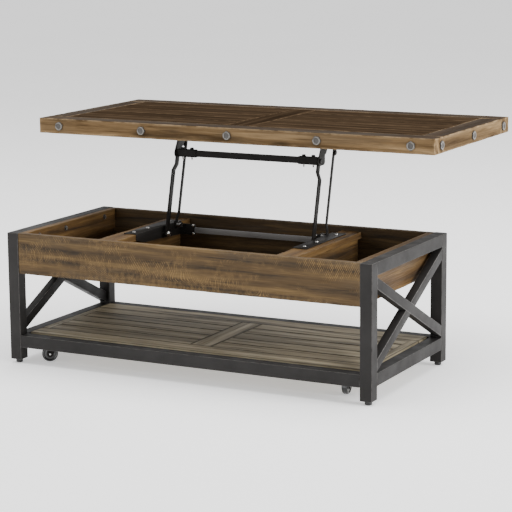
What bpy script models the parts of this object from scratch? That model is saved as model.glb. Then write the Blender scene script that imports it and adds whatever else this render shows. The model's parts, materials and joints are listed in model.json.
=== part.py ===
"""Lift top coffee table: steel frame, open wooden box, slatted shelf, casters and a lifting top.

Metres, +Z up, X across the front, +Y towards the back. The table is drawn with its top raised.
The origin is on the floor, under the centre of the raised table's bounding box.
"""
import math

import bmesh
import bpy
from mathutils import Matrix, Vector

# Driving dimensions
GAP = 0.0003                     # left between pieces that touch
BASE_WIDTH = 1.212
BASE_DEPTH = 0.556
FRAME_TOP = 0.406
TUBE = 0.038                     # square steel tube of the posts and rails
TUBE_WALL = 0.002
POST_BOTTOM = 0.012              # the levelling feet stand out this far
RAIL_BOTTOM = 0.051
BRACE_WIDTH = 0.030
BRACE_DEPTH = 0.026
BRACE_INSET = 0.022              # brace centre line, from the rail's edge at the post

BOX_BOTTOM = 0.281
BOX_TOP = 0.4055
APRON_THICK = 0.020
APRON_INSET = 0.003
PANEL_THICK = 0.009
PANEL_RAISE = 0.003
DIVIDER_FACE = 0.322             # outer face of each divider, from the middle
DIVIDER_THICK = 0.018
LEDGE_INNER = 0.2675
LEDGE_OUTER = 0.3340
LEDGE_TOP = 0.392
LEDGE_THICK = 0.020

SHELF_TOP = 0.092
SHELF_THICK = 0.018
SHELF_GAP_X = 0.006
SHELF_GAP_Y = 0.008
SHELF_BORDER = 0.064             # front and rear boards
SHELF_END = 0.028
SHELF_MIDDLE = 0.066
SHELF_GROOVE = 0.0025
SHELF_PLANKS = 5
CLEAT_WIDTH = 0.036              # cleats run front to back, under the planks' ends and middles
CLEAT_MIDDLE = 0.120
CLEAT_THICK = 0.018
CLEAT_INSET = 0.038              # keeps the casters' swing clear
CLEAT_END = 0.535

TOP_WIDTH = 1.340
TOP_DEPTH = 0.610
TOP_THICK = 0.047
TOP_BORDER = 0.066
TOP_BEVEL = 0.0025
REST_GAP = 0.0005                # closed top above the frame
BOLT_FLATS = 0.025
BOLT_HEAD = 0.005
BOLT_SPACING_X = 0.2985
BOLT_END_INSET = 0.050           # end bolts, from the top's front and rear faces

ARM_LENGTH = 0.256               # between pivots
LEAN = math.radians(14)        # raised arm, past vertical
DROP = math.radians(4.6)         # closed arm, below horizontal
PIVOT_DEPTH = 0.358              # front lower pivot, behind the base's front face
PIVOT_HEIGHT = 0.371
LINK_Y = 0.077                   # rear pivots, behind and above the front ones
LINK_Z = 0.0175
FRONT_PLANE = 0.2526             # middle of the front arm's foot, from the middle of the table
FRONT_ARM = (0.020, 0.004)       # width and thickness
FRONT_CRANK = 0.0090             # towards the middle, near the top
REAR_PLANE = 0.25715             # the rear arm runs outside the front one
REAR_ARM = (0.012, 0.0035)
REAR_FOOT_CRANK = 0.0050         # away from the middle, at the foot
PLAY = 0.0006                    # sideways, between plates that turn on each other
PIN_RADIUS = 0.004
HOLE_RADIUS = 0.0044
HEAD_RADIUS = 0.007
HEAD_THICK = 0.0025
PLATE_FRONT = 0.195              # base plates: front end, behind the base's front face
PLATE_BACK = 0.0355              # and rear end, behind the rear pivot
PLATE_FLANGE = 0.046
PLATE = 0.0025                   # sheet steel of the brackets
TUBE_SECTION = (0.010, 0.020)    # cross tube, Y and Z
EAR_REACH = 0.0335               # front ear behind its pivot; the closed arm's crank starts just past it
SLEEVE_LENGTH = 0.065
SLEEVE_WALL = 0.0018
TAB_BEHIND = 0.0235              # tabs and spacer bar, behind the rear pivots
TAB_LOW = 0.3540
TAB_HIGH = 0.3880
TAB_LENGTH = 0.060
SPACER_LOW = 0.3610
SPACER_HIGH = 0.3790
SPACER_THICK = 0.003
SPACER_LAP = 0.0035              # the spacer bar's ends pass this far in front of the tabs
SHEET_BEVEL = 0.0006
SPRING_RADIUS = 0.0075
SPRING_WIRE = 0.0010             # radius
SPRING_TURNS = 5
SPRING_PITCH = 0.0025

CASTER_X = 0.486
CASTER_DEPTH = 0.076
WHEEL_RADIUS = 0.025
WHEEL_WIDTH = 0.018
WHEEL_CLEARANCE = 0.0005
CASTER_TRAIL = 0.022
CASTER_TOP = 0.0700
CASTER_HEADINGS = {"front_left": 215, "front_right": 95, "rear_left": 140, "rear_right": 35}

# Sizes that follow
SHIFT_Y = ARM_LENGTH * (math.sin(LEAN) + math.cos(DROP))
RISE = ARM_LENGTH * (math.cos(LEAN) + math.sin(DROP))
OVERHANG = (TOP_DEPTH - BASE_DEPTH) / 2
FRONT = -(SHIFT_Y - OVERHANG + TOP_DEPTH + BOLT_HEAD) / 2
BACK = FRONT + BASE_DEPTH
SIDE = BASE_WIDTH / 2
INNER_SIDE = SIDE - TUBE
TOP_FRONT = FRONT - OVERHANG + SHIFT_Y
TOP_BOTTOM = FRAME_TOP + REST_GAP + RISE
BOX_FRONT = FRONT + APRON_INSET + APRON_THICK
BOX_BACK = BACK - APRON_INSET - APRON_THICK
FRONT_LOWER = Vector((0, FRONT + PIVOT_DEPTH, PIVOT_HEIGHT))
REAR_LOWER = FRONT_LOWER + Vector((0, LINK_Y, LINK_Z))
ARM_VECTOR = ARM_LENGTH * Vector((0, math.sin(LEAN), math.cos(LEAN)))
FRONT_UPPER = FRONT_LOWER + ARM_VECTOR
REAR_UPPER = REAR_LOWER + ARM_VECTOR
REAR_FOOT = REAR_PLANE + REAR_FOOT_CRANK
FRONT_TOP_PLANE = FRONT_PLANE - FRONT_CRANK
WEB_FACE = REAR_FOOT + REAR_ARM[1] / 2 + PLAY
SPRING_START = REAR_FOOT - REAR_ARM[1] / 2 - 0.0028
SPRING_END = SPRING_START - SPRING_TURNS * SPRING_PITCH

SIDES = {"left": -1, "right": 1}
ENDS = {"front": -1, "rear": 1}

MATERIALS = {
    "frame_steel": ((0.062, 0.060, 0.060), 0.45, 0.85),
    "box_wood": ((0.155, 0.090, 0.045), 0.60, 0.0),
    "shelf_wood": ((0.195, 0.150, 0.105), 0.75, 0.0),
    "top_wood": ((0.085, 0.055, 0.036), 0.50, 0.0),
    "top_edge_wood": ((0.230, 0.140, 0.070), 0.55, 0.0),
    "black_steel": ((0.022, 0.022, 0.023), 0.40, 0.8),
    "zinc_steel": ((0.420, 0.410, 0.400), 0.35, 1.0),
    "caster_black": ((0.012, 0.012, 0.013), 0.20, 0.0),
    "foot_plastic": ((0.015, 0.015, 0.015), 0.55, 0.0),
}


def clear_scene():
    for item in list(bpy.data.objects):
        bpy.data.objects.remove(item, do_unlink=True)


def collection(name):
    group = bpy.data.collections.new(name)
    bpy.context.scene.collection.children.link(group)
    return group


def make_materials():
    made = {}
    for name, (colour, roughness, metallic) in MATERIALS.items():
        material = bpy.data.materials.new(name)
        material.use_nodes = True
        shader = material.node_tree.nodes["Principled BSDF"]
        shader.inputs["Base Color"].default_value = (*colour, 1)
        shader.inputs["Roughness"].default_value = roughness
        shader.inputs["Metallic"].default_value = metallic
        made[name] = material
    return made


def finish(item, name, material):
    """Name a piece, give it its material and put it in the table's collection."""
    item.name = name
    item.data.name = name
    item.data.materials.clear()
    item.data.materials.append(MATERIAL[material])
    if item.name not in TABLE.objects:
        TABLE.objects.link(item)
    return item


def mesh_object(shape, place=Matrix()):
    """A loose mesh object from a bmesh, linked so that modifiers can read it."""
    data = bpy.data.meshes.new("shape")
    shape.to_mesh(data)
    shape.free()
    item = bpy.data.objects.new("shape", data)
    item.matrix_world = place
    TABLE.objects.link(item)
    return item


def box(low, high, bevel=0.0, segments=1, origin=None):
    """A box between two corners, with its origin at its middle or at a given point."""
    low = Vector(low)
    high = Vector(high)
    middle = (low + high) / 2
    centre = middle if origin is None else Vector(origin)
    shape = bmesh.new()
    bmesh.ops.create_cube(shape, size=1)
    bmesh.ops.scale(shape, vec=high - low, verts=shape.verts)
    bmesh.ops.translate(shape, vec=middle - centre, verts=shape.verts)
    if bevel:
        bmesh.ops.bevel(shape, geom=shape.edges[:], offset=bevel, segments=segments,
                        profile=0.5, affect="EDGES")
    return mesh_object(shape, Matrix.Translation(centre))


def cylinder(start, end, radius, sides=16, end_radius=None):
    """A cylinder or cone from one point to another."""
    start = Vector(start)
    end = Vector(end)
    shape = bmesh.new()
    bmesh.ops.create_cone(shape, cap_ends=True, segments=sides, radius1=radius,
                          radius2=radius if end_radius is None else end_radius,
                          depth=(end - start).length)
    turn = (end - start).to_track_quat("Z", "Y").to_matrix().to_4x4()
    return mesh_object(shape, Matrix.Translation((start + end) / 2) @ turn)


def combine(item, tool, operation):
    """Apply a Boolean at once and remove the tool."""
    change = item.modifiers.new("combine", "BOOLEAN")
    change.operation = operation
    change.solver = "EXACT"
    change.object = tool
    bpy.context.view_layer.update()
    result = bpy.data.meshes.new_from_object(item.evaluated_get(bpy.context.evaluated_depsgraph_get()))
    item.modifiers.clear()
    item.data = result
    bpy.data.objects.remove(tool, do_unlink=True)
    return item


def circle(centre, radius, count=20):
    return [(centre[0] + radius * math.cos(math.tau * i / count),
             centre[1] + radius * math.sin(math.tau * i / count)) for i in range(count)]


def arc(centre, radius, start, end, count=10):
    """Points on an arc, angles in degrees."""
    points = []
    for i in range(count + 1):
        angle = math.radians(start + (end - start) * i / count)
        points.append((centre[0] + radius * math.cos(angle), centre[1] + radius * math.sin(angle)))
    return points


def plate(outline, holes, thickness, place):
    """A flat plate from a closed outline in its own XY plane, as a welded mesh."""
    curve = bpy.data.curves.new("plate", "CURVE")
    curve.dimensions = "2D"
    curve.fill_mode = "BOTH"
    curve.extrude = thickness / 2
    for points in [outline, *holes]:
        spline = curve.splines.new("POLY")
        spline.points.add(len(points) - 1)
        spline.use_cyclic_u = True
        for point, (x, y) in zip(spline.points, points):
            point.co = (x, y, 0, 1)
    guide = bpy.data.objects.new("plate", curve)
    TABLE.objects.link(guide)
    bpy.context.view_layer.update()
    data = bpy.data.meshes.new_from_object(guide.evaluated_get(bpy.context.evaluated_depsgraph_get()))
    bpy.data.objects.remove(guide, do_unlink=True)
    shape = bmesh.new()
    shape.from_mesh(data)
    bmesh.ops.remove_doubles(shape, verts=shape.verts, dist=0.00001)
    bmesh.ops.recalc_face_normals(shape, faces=shape.faces)
    return mesh_object(shape, place)


# Plates drawn in the (Y, Z) plane: their own X, Y and Z are the table's Y, Z and X.
UPRIGHT = Matrix(((0, 0, 1, 0), (1, 0, 0, 0), (0, 1, 0, 0), (0, 0, 0, 1)))
# Plates drawn in the (X, Z) plane: their own X, Y and Z are the table's X, Z and -Y.
FACING = Matrix(((1, 0, 0, 0), (0, 0, -1, 0), (0, 1, 0, 0), (0, 0, 0, 1)))


def upright_plate(outline, holes, thickness, x):
    return plate(outline, holes, thickness, Matrix.Translation((x, 0, 0)) @ UPRIGHT)


def turned(profile, place=Matrix(), steps=28, closed=False):
    """A turned solid from (radius, height) points that run down the outer side."""
    data = bpy.data.meshes.new("profile")
    count = len(profile)
    edges = [(i, i + 1) for i in range(count - 1)]
    if closed:
        edges.append((count - 1, 0))
    data.from_pydata([(radius, 0, height) for radius, height in profile], edges, [])
    item = bpy.data.objects.new("turned", data)
    item.matrix_world = place
    TABLE.objects.link(item)
    screw = item.modifiers.new("screw", "SCREW")
    screw.steps = steps
    screw.render_steps = steps
    screw.use_merge_vertices = True
    screw.merge_threshold = 0.00001
    screw.use_smooth_shade = True
    return item


def real_mesh(item):
    """Replace a modified object's mesh by its evaluated one."""
    bpy.context.view_layer.update()
    result = bpy.data.meshes.new_from_object(item.evaluated_get(bpy.context.evaluated_depsgraph_get()))
    item.modifiers.clear()
    item.data = result
    return item


def move_origin(item, point):
    """Put an object's origin on a joint's axis without moving its mesh."""
    shift = item.matrix_world.inverted() @ Vector(point)
    item.data.transform(Matrix.Translation(-shift))
    item.matrix_world = item.matrix_world @ Matrix.Translation(shift)
    return item


def hang_from(parent, item):
    item.parent = parent
    item.matrix_parent_inverse = parent.matrix_world.inverted()


def axis_empty(name, point):
    empty = bpy.data.objects.new(name, None)
    empty.location = point
    empty.empty_display_size = 0.05
    TABLE.objects.link(empty)
    bpy.context.view_layer.update()
    return empty


# Steel base

def hollow_bar(low, high, along, open_ends=True):
    """A square tube between two corners. A closed one keeps a thin wall at both ends."""
    bar = box(low, high, 0.0018, 2)
    inner_low = Vector(low) + Vector((TUBE_WALL,) * 3)
    inner_high = Vector(high) - Vector((TUBE_WALL,) * 3)
    if open_ends:
        inner_low[along] = low[along] - TUBE_WALL
        inner_high[along] = high[along] + TUBE_WALL
    return combine(bar, box(inner_low, inner_high), "DIFFERENCE")


def build_posts():
    for end, rear in ENDS.items():
        for side, across in SIDES.items():
            x = across * (SIDE - TUBE / 2)
            y = (FRONT if rear < 0 else BACK) - rear * TUBE / 2
            half = TUBE / 2
            post = hollow_bar((x - half, y - half, POST_BOTTOM), (x + half, y + half, FRAME_TOP), 2, False)
            hole = cylinder((x, y, POST_BOTTOM - 0.005), (x, y, POST_BOTTOM + 0.005), 0.0045)
            combine(post, hole, "DIFFERENCE")
            finish(post, f"post_{end}_{side}", "frame_steel")
            profile = [(0, 0.026), (0.004, 0.026), (0.004, POST_BOTTOM - GAP), (0.0095, POST_BOTTOM - GAP),
                       (0.0105, POST_BOTTOM - 0.003), (0.0105, 0.0015), (0.009, 0), (0, 0)]
            foot = turned(profile, Matrix.Translation((x, y, 0)), 20)
            finish(foot, f"foot_{end}_{side}", "foot_plastic")


def build_rails():
    for side, across in SIDES.items():
        x_low = -SIDE if across < 0 else INNER_SIDE
        for level, bottom in (("bottom", RAIL_BOTTOM), ("top", FRAME_TOP - TUBE)):
            rail = hollow_bar((x_low, FRONT + TUBE + GAP, bottom),
                              (x_low + TUBE, BACK - TUBE - GAP, bottom + TUBE), 1)
            finish(rail, f"end_rail_{level}_{side}", "frame_steel")
    for end, y_low in (("front", FRONT), ("rear", BACK - TUBE)):
        rail = hollow_bar((-INNER_SIDE + GAP, y_low, RAIL_BOTTOM),
                          (INNER_SIDE - GAP, y_low + TUBE, RAIL_BOTTOM + TUBE), 0)
        finish(rail, f"long_rail_{end}", "frame_steel")


def brace_frame(slope):
    """Middle, direction and half length of a diagonal in an end frame."""
    low = RAIL_BOTTOM + TUBE + BRACE_INSET
    high = FRAME_TOP - TUBE - BRACE_INSET
    run = BASE_DEPTH - 2 * TUBE
    angle = slope * math.atan2(high - low, run)
    middle = Vector((0, (FRONT + BACK) / 2, (low + high) / 2))
    return middle, angle


def diagonal(across, slope, width, depth, length, along=0.0):
    """A plain bar lying along a diagonal, its middle shifted along it."""
    middle, angle = brace_frame(slope)
    middle.x = across * (SIDE - 0.0005 - BRACE_DEPTH / 2)
    bar = box((-depth / 2, along - length / 2, -width / 2), (depth / 2, along + length / 2, width / 2))
    bar.matrix_world = (Matrix.Translation(middle) @ Matrix.Rotation(angle, 4, "X")
                        @ Matrix.Translation(bar.matrix_world.translation))
    return bar


def brace(across, slope, half=0):
    """One diagonal tube, whole, or cut to the half that lies before (-1) or after (1) the crossing."""
    length = BASE_DEPTH
    bar = diagonal(across, slope, BRACE_WIDTH, BRACE_DEPTH, length, half * length / 2)
    wall = 2 * TUBE_WALL
    combine(bar, diagonal(across, slope, BRACE_WIDTH - wall, BRACE_DEPTH - wall, 2 * length), "DIFFERENCE")
    opening = box((across * SIDE - 0.1, FRONT + TUBE + GAP, RAIL_BOTTOM + TUBE + GAP),
                  (across * SIDE + 0.1, BACK - TUBE - GAP, FRAME_TOP - TUBE - GAP))
    combine(bar, opening, "INTERSECT")
    if half:
        other = diagonal(across, -slope, BRACE_WIDTH + 2 * GAP, 2 * BRACE_DEPTH, 2 * length)
        combine(bar, other, "DIFFERENCE")
    return bar


def build_braces():
    for side, across in SIDES.items():
        finish(brace(across, -1), f"brace_long_{side}", "frame_steel")
        finish(brace(across, 1, -1), f"brace_lower_{side}", "frame_steel")
        finish(brace(across, 1, 1), f"brace_upper_{side}", "frame_steel")


# Wooden box and shelf

def board(low, high, name, material, bevel=0.001):
    return finish(box(low, high, bevel), name, material)


def build_box():
    reach = INNER_SIDE - GAP
    board((-reach, FRONT + APRON_INSET, BOX_BOTTOM), (reach, BOX_FRONT, BOX_TOP), "box_apron_front", "box_wood")
    board((-reach, BOX_BACK, BOX_BOTTOM), (reach, BACK - APRON_INSET, BOX_TOP), "box_apron_rear", "box_wood")
    y_low = BOX_FRONT + GAP
    y_high = BOX_BACK - GAP
    floor_low = BOX_BOTTOM + PANEL_RAISE
    floor_top = floor_low + PANEL_THICK
    board((-reach + APRON_THICK + GAP, y_low, floor_low), (reach - APRON_THICK - GAP, y_high, floor_top),
          "box_floor", "box_wood", 0.0)
    for side, across in SIDES.items():
        ends = sorted((across * reach, across * (reach - APRON_THICK)))
        board((ends[0], y_low, BOX_BOTTOM), (ends[1], y_high, BOX_TOP), f"box_end_{side}", "box_wood")
        faces = sorted((across * DIVIDER_FACE, across * (DIVIDER_FACE - DIVIDER_THICK)))
        board((faces[0], y_low, floor_top + GAP), (faces[1], y_high, LEDGE_TOP - LEDGE_THICK - GAP),
              f"box_divider_{side}", "box_wood")
        edges = sorted((across * LEDGE_INNER, across * LEDGE_OUTER))
        board((edges[0], y_low, LEDGE_TOP - LEDGE_THICK), (edges[1], y_high, LEDGE_TOP),
              f"box_ledge_{side}", "box_wood")


def build_shelf():
    reach = INNER_SIDE - SHELF_GAP_X
    front = FRONT + TUBE + SHELF_GAP_Y
    back = BACK - TUBE - SHELF_GAP_Y
    bottom = SHELF_TOP - SHELF_THICK
    inner_front = front + SHELF_BORDER + SHELF_GROOVE
    inner_back = back - SHELF_BORDER - SHELF_GROOVE
    board((-reach, front, bottom), (reach, front + SHELF_BORDER, SHELF_TOP), "shelf_board_front", "shelf_wood")
    board((-reach, back - SHELF_BORDER, bottom), (reach, back, SHELF_TOP), "shelf_board_rear", "shelf_wood")
    half = SHELF_MIDDLE / 2
    board((-half, inner_front, bottom), (half, inner_back, SHELF_TOP), "shelf_board_middle", "shelf_wood")
    for side, across in SIDES.items():
        ends = sorted((across * reach, across * (reach - SHELF_END)))
        board((ends[0], inner_front, bottom), (ends[1], inner_back, SHELF_TOP),
              f"shelf_board_{side}", "shelf_wood")
    cleat_top = bottom - GAP
    half_run = (inner_back - inner_front) / 2 - CLEAT_INSET
    middle = (front + back) / 2
    planks = None
    for x, cleat_width in ((0, CLEAT_MIDDLE), (-0.26, CLEAT_WIDTH), (0.26, CLEAT_WIDTH),
                           (-CLEAT_END, CLEAT_WIDTH), (CLEAT_END, CLEAT_WIDTH)):
        cleat = box((x - cleat_width / 2, middle - half_run, cleat_top - CLEAT_THICK),
                    (x + cleat_width / 2, middle + half_run, cleat_top))
        planks = cleat if planks is None else combine(planks, cleat, "UNION")
    width = (inner_back - inner_front + SHELF_GROOVE) / SHELF_PLANKS - SHELF_GROOVE
    for across in SIDES.values():
        ends = sorted((across * (half + SHELF_GROOVE), across * (reach - SHELF_END - SHELF_GROOVE)))
        for i in range(SHELF_PLANKS):
            y = inner_front + i * (width + SHELF_GROOVE)
            plank = box((ends[0], y, cleat_top - 0.001), (ends[1], y + width, SHELF_TOP))
            combine(planks, plank, "UNION")
    finish(planks, "shelf_planks", "shelf_wood")


# Casters

def caster_outline():
    """Cheek of the fork in its own (along, up) plane: round at the axle, straight at the bridge."""
    axle = (0, WHEEL_RADIUS + WHEEL_CLEARANCE)
    top = CASTER_TOP - 0.006
    lead = -CASTER_TRAIL
    return [*arc(axle, 0.009, -150, 10), (lead + 0.030, top), (lead - 0.010, top)]


def build_caster(name, heading):
    """A swivel fork and its wheel. The wheel trails behind the swivel axis along the heading."""
    end, side = name.split("_")
    x = SIDES[side] * CASTER_X
    y = FRONT + CASTER_DEPTH if end == "front" else BACK - CASTER_DEPTH
    turn = Matrix.Translation((x, y, 0)) @ Matrix.Rotation(math.radians(heading), 4, "Z")
    axle_place = turn @ Matrix.Translation((CASTER_TRAIL, 0, 0))
    cheek_y = WHEEL_WIDTH / 2 + PLAY + PLATE / 2
    fork = turned([(0, CASTER_TOP), (0.016, CASTER_TOP), (0.017, CASTER_TOP - 0.001),
                   (0.017, CASTER_TOP - 0.004), (0.012, CASTER_TOP - 0.006), (0, CASTER_TOP - 0.006)], turn, 24)
    real_mesh(fork)
    bridge = box((-0.010, -cheek_y - PLATE / 2, CASTER_TOP - 0.010),
                 (0.012, cheek_y + PLATE / 2, CASTER_TOP - 0.0055))
    bridge.matrix_world = turn @ bridge.matrix_world
    combine(fork, bridge, "UNION")
    for across in (-1, 1):
        cheek = plate(caster_outline(), [], PLATE,
                      axle_place @ Matrix.Translation((0, across * cheek_y, 0)) @ FACING)
        combine(fork, cheek, "UNION")
    height = WHEEL_RADIUS + WHEEL_CLEARANCE
    axle = cylinder(axle_place @ Vector((0, -cheek_y - 0.002, height)),
                    axle_place @ Vector((0, cheek_y + 0.002, height)), 0.003)
    combine(fork, axle, "UNION")
    finish(fork, f"caster_fork_{name}", "black_steel")
    half = WHEEL_WIDTH / 2
    bore = 0.0034
    profile = [(bore, half), (0.009, half), (0.011, half - 0.002), (0.019, half - 0.002), (0.0215, half),
               (WHEEL_RADIUS - 0.0015, half - 0.002), (WHEEL_RADIUS, half - 0.005),
               (WHEEL_RADIUS, -half + 0.005), (WHEEL_RADIUS - 0.0015, -half + 0.002), (0.0215, -half),
               (0.019, -half + 0.002), (0.011, -half + 0.002), (0.009, -half), (bore, -half)]
    wheel_place = axle_place @ Matrix.Translation((0, 0, height)) @ Matrix.Rotation(math.pi / 2, 4, "X")
    wheel = turned(profile, wheel_place, 32, True)
    finish(wheel, f"caster_wheel_{name}", "caster_black")


# Lift mechanism

def pivot(across, centre, start, end, head_from, head_to):
    """A pin along X between two distances from the middle, with its head."""
    pin = cylinder((across * start, centre.y, centre.z), (across * end, centre.y, centre.z), PIN_RADIUS)
    head = cylinder((across * head_from, centre.y, centre.z), (across * head_to, centre.y, centre.z), HEAD_RADIUS, 20)
    return combine(pin, head, "UNION")


def base_plate(across):
    """The pressed plate that carries both lower pivots: a web beside the ledge and a flange on it."""
    web = WEB_FACE + PLATE / 2
    front = FRONT + PLATE_FRONT
    back = REAR_LOWER.y + PLATE_BACK
    top = LEDGE_TOP + GAP + PLATE
    low = TAB_LOW - 0.002
    outline = [(front, top), (front, top - 0.020), (front + 0.05, top - 0.034)]
    outline += arc((FRONT_LOWER.y, FRONT_LOWER.z), 0.015, 235, 290, 6)
    outline += [(back - 0.006, low), (back, low + 0.006), (back, top)]
    outline += arc((REAR_LOWER.y, REAR_LOWER.z), 0.0115, 33, 147, 8)
    bracket = upright_plate(outline, [], PLATE, across * web)
    edges = sorted((across * WEB_FACE, across * (WEB_FACE + PLATE_FLANGE)))
    flange = box((edges[0], front, LEDGE_TOP + GAP), (edges[1], back, top))
    combine(bracket, flange, "UNION")
    tab_y = REAR_LOWER.y + TAB_BEHIND
    ends = sorted((across * web, across * (web - TAB_LENGTH)))
    tab = box((ends[0], tab_y, TAB_LOW), (ends[1], tab_y + PLATE, TAB_HIGH))
    combine(bracket, tab, "UNION")
    foot_in = FRONT_PLANE - FRONT_ARM[1] / 2 - PLAY
    combine(bracket, pivot(across, FRONT_LOWER, web, foot_in - 0.001, foot_in, foot_in - HEAD_THICK), "UNION")
    spring_in = SPRING_END - SPRING_WIRE - PLAY
    combine(bracket, pivot(across, REAR_LOWER, web, spring_in - 0.001, spring_in, spring_in - HEAD_THICK),
            "UNION")
    return move_origin(bracket, (across * web, FRONT_LOWER.y, FRONT_LOWER.z))


def arm_profile(path, thickness):
    """Outline of a cranked bar seen edge on, from a centre line of (sideways, along) points."""
    left = [(x - thickness / 2, z) for x, z in path]
    right = [(x + thickness / 2, z) for x, z in reversed(path)]
    return left + right


def arm(across, foot, width, thickness, path, slots, hole_places):
    """A flat bar with round ends and pivot holes, cranked sideways, leaning with the raised lift."""
    lean = Matrix.Translation(foot) @ Matrix.Rotation(-LEAN, 4, "X")
    radius = 0.0105
    half = width / 2
    blend = math.degrees(math.acos(half / radius)) if half < radius else 0
    neck = radius * math.sin(math.radians(blend))
    face = arc((0, 0), radius, 180 + blend, 360 - blend, 10)
    face += [(half, neck), (half, ARM_LENGTH - neck)]
    face += arc((0, ARM_LENGTH), radius, blend, 180 - blend, 10)
    face += [(-half, ARM_LENGTH - neck), (-half, neck)]
    holes = [circle(place, HOLE_RADIUS) for place in hole_places] + slots
    bar = plate(face, holes, 0.08, lean @ Matrix.Translation((across * FRONT_PLANE, 0, 0)) @ UPRIGHT)
    points = [(across * x, z) for x, z in path]
    side_view = plate(arm_profile(points, thickness), [], 0.04, lean @ FACING)
    return combine(side_view, bar, "INTERSECT")


def slot(middle, length, width):
    """A round-ended slot along the arm."""
    reach = length / 2 - width / 2
    return (arc((0, middle + reach), width / 2, 0, 180, 8) + arc((0, middle - reach), width / 2, 180, 360, 8))


def front_arm(across):
    path = [(FRONT_PLANE, -0.02), (FRONT_PLANE, ARM_LENGTH - 0.056), (FRONT_TOP_PLANE, ARM_LENGTH - 0.036),
            (FRONT_TOP_PLANE, ARM_LENGTH + 0.02)]
    bar = arm(across, FRONT_LOWER, *FRONT_ARM, path,
              [slot(ARM_LENGTH - 0.067, 0.016, 0.007)], [(0, 0), (0, ARM_LENGTH)])
    half_y = TUBE_SECTION[0] / 2 + GAP + SLEEVE_WALL
    half_z = TUBE_SECTION[1] / 2 + GAP + SLEEVE_WALL
    inner = FRONT_TOP_PLANE - FRONT_ARM[1] / 2
    ends = sorted((across * (inner + 0.001), across * (inner - SLEEVE_LENGTH)))
    at = FRONT_UPPER
    sleeve = box((ends[0], at.y - half_y, at.z - half_z), (ends[1], at.y + half_y, at.z + half_z), 0.0012)
    ends = sorted((across * inner, across * (inner - SLEEVE_LENGTH - 0.01)))
    bore = box((ends[0], at.y - half_y + SLEEVE_WALL, at.z - half_z + SLEEVE_WALL),
               (ends[1], at.y + half_y - SLEEVE_WALL, at.z + half_z - SLEEVE_WALL))
    combine(sleeve, bore, "DIFFERENCE")
    combine(bar, sleeve, "UNION")
    head = FRONT_TOP_PLANE + FRONT_ARM[1] / 2 + PLATE + 2 * PLAY
    combine(bar, pivot(across, at, inner + 0.0001, head + 0.001, head, head + HEAD_THICK), "UNION")
    return move_origin(bar, (across * FRONT_PLANE, FRONT_LOWER.y, FRONT_LOWER.z))


def rear_arm(across):
    path = [(REAR_FOOT, -0.02), (REAR_FOOT, 0.020), (REAR_PLANE, 0.036), (REAR_PLANE, ARM_LENGTH + 0.02)]
    bar = arm(across, REAR_LOWER, *REAR_ARM, path, [], [(0, 0)])
    head = REAR_PLANE + REAR_ARM[1] / 2 + PLATE + 2 * PLAY
    combine(bar, pivot(across, REAR_UPPER, REAR_PLANE, head + 0.001, head, head + HEAD_THICK), "UNION")
    return move_origin(bar, (across * REAR_PLANE, REAR_LOWER.y, REAR_LOWER.z))


def ear(x, centre, radius, end, corners):
    """A hanging ear: round at its pivot as far as the end angle, slanting up to the flange."""
    outline = arc((centre.y, centre.z), radius, 165, end, 12)
    outline += [(centre.y + y, centre.z + z) for y, z in corners]
    return upright_plate(outline, [circle((centre.y, centre.z), HOLE_RADIUS)], PLATE, x)


def top_bracket(across):
    """Flange under the top with two ears, which turn on the front and the rear arm's upper pins."""
    flange_top = TOP_BOTTOM - GAP
    flange_low = flange_top - PLATE
    front_ear = FRONT_TOP_PLANE + FRONT_ARM[1] / 2 + PLAY + PLATE / 2
    rear_ear = REAR_PLANE + REAR_ARM[1] / 2 + PLAY + PLATE / 2
    y_low = FRONT_UPPER.y + 0.015
    y_high = REAR_UPPER.y + 0.020
    edges = sorted((across * (front_ear - 0.0075), across * (rear_ear + 0.009)))
    bracket = box((edges[0], y_low, flange_low), (edges[1], y_high, flange_top), SHEET_BEVEL)
    middle = (flange_low + flange_top) / 2
    rise = middle - FRONT_UPPER.z
    front_corners = [(EAR_REACH - 0.006, -0.0145), (EAR_REACH, -0.008), (EAR_REACH, 0.015), (0.042, 0.0185),
                     (0.066, rise), (0.014, rise)]
    combine(bracket, ear(across * front_ear, FRONT_UPPER, 0.015, 275, front_corners), "UNION")
    rise = middle - REAR_UPPER.z
    rear = ear(across * rear_ear, REAR_UPPER, 0.0095, 330, [(0.016, rise), (-0.016, rise)])
    return combine(bracket, rear, "UNION")


def torsion_spring(across):
    """A coil round the rear lower pivot, with a short leg at each end."""
    steps = 12
    leg = 0.010
    points = [(across * SPRING_START, REAR_LOWER.y + SPRING_RADIUS, REAR_LOWER.z + leg)]
    for i in range(SPRING_TURNS * steps + 1):
        angle = -math.tau * i / steps
        points.append((across * (SPRING_START - SPRING_PITCH * i / steps),
                       REAR_LOWER.y + SPRING_RADIUS * math.cos(angle),
                       REAR_LOWER.z + SPRING_RADIUS * math.sin(angle)))
    points.append((points[-1][0], points[-1][1], REAR_LOWER.z - leg))
    curve = bpy.data.curves.new("spring", "CURVE")
    curve.dimensions = "3D"
    curve.bevel_depth = SPRING_WIRE
    curve.bevel_resolution = 2
    curve.use_fill_caps = True
    spline = curve.splines.new("POLY")
    spline.points.add(len(points) - 1)
    for place, point in zip(spline.points, points):
        place.co = (*point, 1)
    item = bpy.data.objects.new("spring", curve)
    TABLE.objects.link(item)
    return item


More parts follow.
